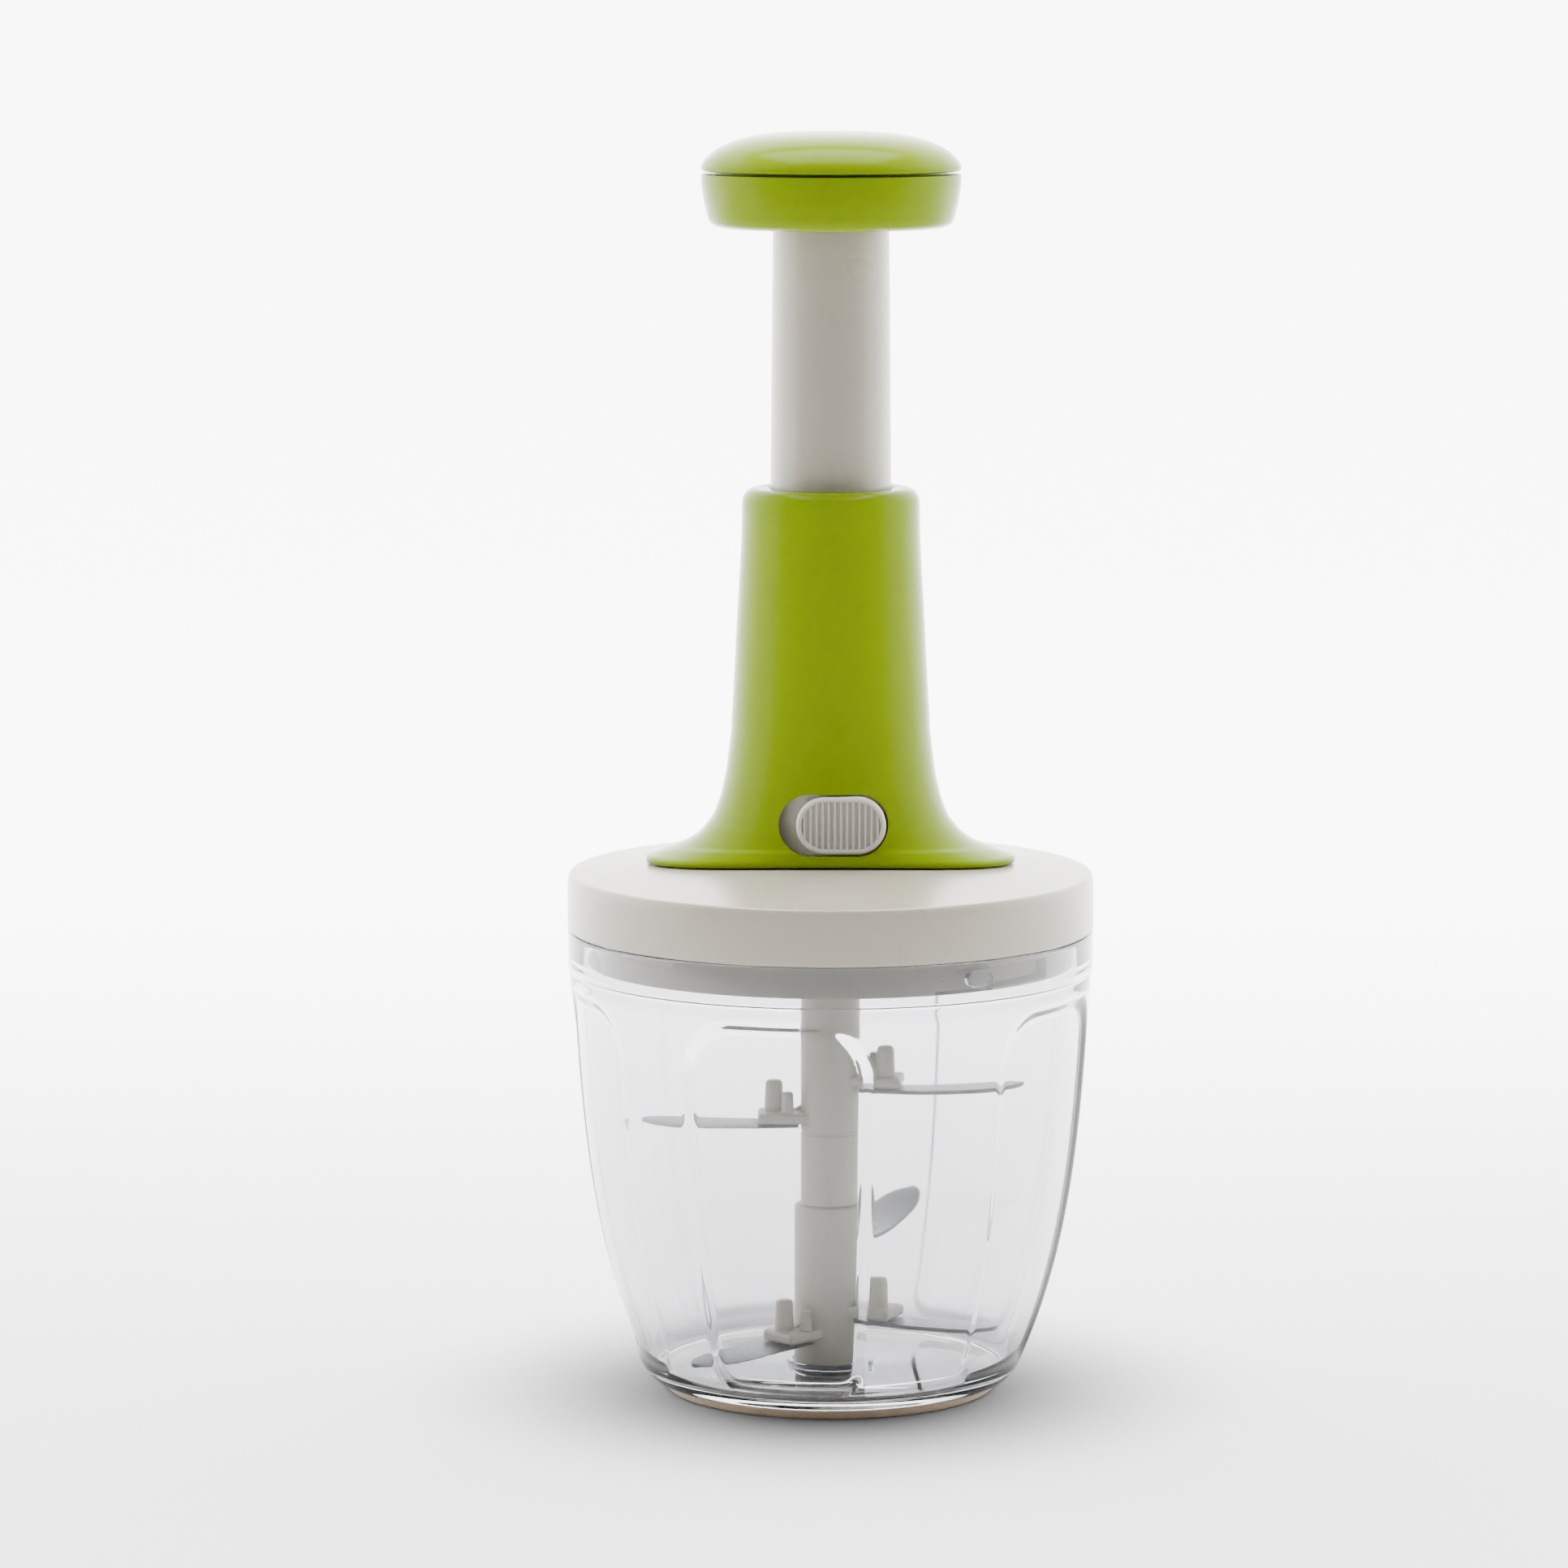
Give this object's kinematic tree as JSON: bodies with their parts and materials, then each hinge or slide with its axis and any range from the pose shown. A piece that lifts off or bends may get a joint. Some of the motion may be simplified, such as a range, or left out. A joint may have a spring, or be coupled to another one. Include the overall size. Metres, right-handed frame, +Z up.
{
  "type": "hand-press vegetable chopper",
  "caption": "Hand-press vegetable chopper: clear bowl with steel blades on a shaft, twist lid, green handle with a spring plunger, spiral rod and lock slider.",
  "frame": {"origin": "on the surface the chopper stands on, under the centre of the bowl", "axes": "+Z up along the plunger and blade shaft, -Y towards the lock slider (front), +X to the right seen from the front"},
  "size_m": [0.13, 0.13, 0.311],
  "materials": {
    "green_plastic": "glossy moulded plastic",
    "white_plastic": "satin moulded plastic",
    "clear_plastic": "clear polished plastic",
    "ivory_plastic": "moulded ivory plastic",
    "beige_rubber": "matte soft rubber",
    "silicone": "matte silicone",
    "steel": "brushed stainless steel",
    "nylon": "natural nylon"
  },
  "bodies": {
    "bowl": {"bowl": "clear_plastic", "anti_slip_ring": "beige_rubber"},
    "seal": {"lid_gasket": "silicone"},
    "lid": {"lid": "white_plastic", "press_housing": "green_plastic", "guide_sleeve": "white_plastic", "bearing_plate": "nylon", "neck_bush": "nylon", "lock_track": "white_plastic", "plate_screw_left": "steel", "plate_screw_right": "steel", "housing_screw_left": "steel", "housing_screw_right": "steel", "return_spring": "steel"},
    "plunger": {"knob_cap": "green_plastic", "knob_base": "green_plastic", "knob_screw": "steel", "plunger_tube": "white_plastic", "spring_seat": "nylon", "drive_nut": "nylon"},
    "spiral": {"spiral_rod": "steel", "thrust_cup": "nylon", "clutch_driver": "nylon"},
    "blade_unit": {"output_hub": "ivory_plastic", "blade_shaft_upper": "ivory_plastic", "blade_shaft_lower": "ivory_plastic", "blade_1": "steel", "blade_2": "steel", "blade_3": "steel", "blade_4": "steel", "blade_5": "steel"},
    "lock": {"lock_button": "white_plastic", "lock_latch": "nylon"}
  },
  "joints": [
    {"name": "lid_lift", "type": "slide", "parent": "bowl", "child": "seal", "axis": [0, 0, 1], "range_m": [0, 0.125]},
    {"name": "lid_twist", "type": "hinge", "parent": "seal", "child": "lid", "pos_m": [0, 0, 0.1154], "axis": [0, 0, 1], "range_deg": [-17, 0]},
    {"name": "plunger_press", "type": "slide", "parent": "lid", "child": "plunger", "axis": [0, 0, -1], "range_m": [0, 0.06], "stiffness_N_per_m": 180, "springref_m": -0.03, "deforming": ["return_spring"]},
    {"name": "spiral_spin", "type": "hinge", "parent": "lid", "child": "spiral", "pos_m": [0, 0, 0.17], "axis": [0, 0, 1], "range_deg": [0, 541]},
    {"name": "blade_spin", "type": "hinge", "parent": "lid", "child": "blade_unit", "pos_m": [0, 0, 0.06], "axis": [0, 0, 1], "continuous": true},
    {"name": "lock_slide", "type": "slide", "parent": "lid", "child": "lock", "axis": [-1, 0, 0], "range_m": [0, 0.0042]}
  ],
  "couplings": [
    {"joint": "spiral_spin", "follows": "plunger_press", "rad_per_m": 157.08},
    {"joint": "blade_spin", "follows": "plunger_press", "rad_per_m": 157.08}
  ]
}
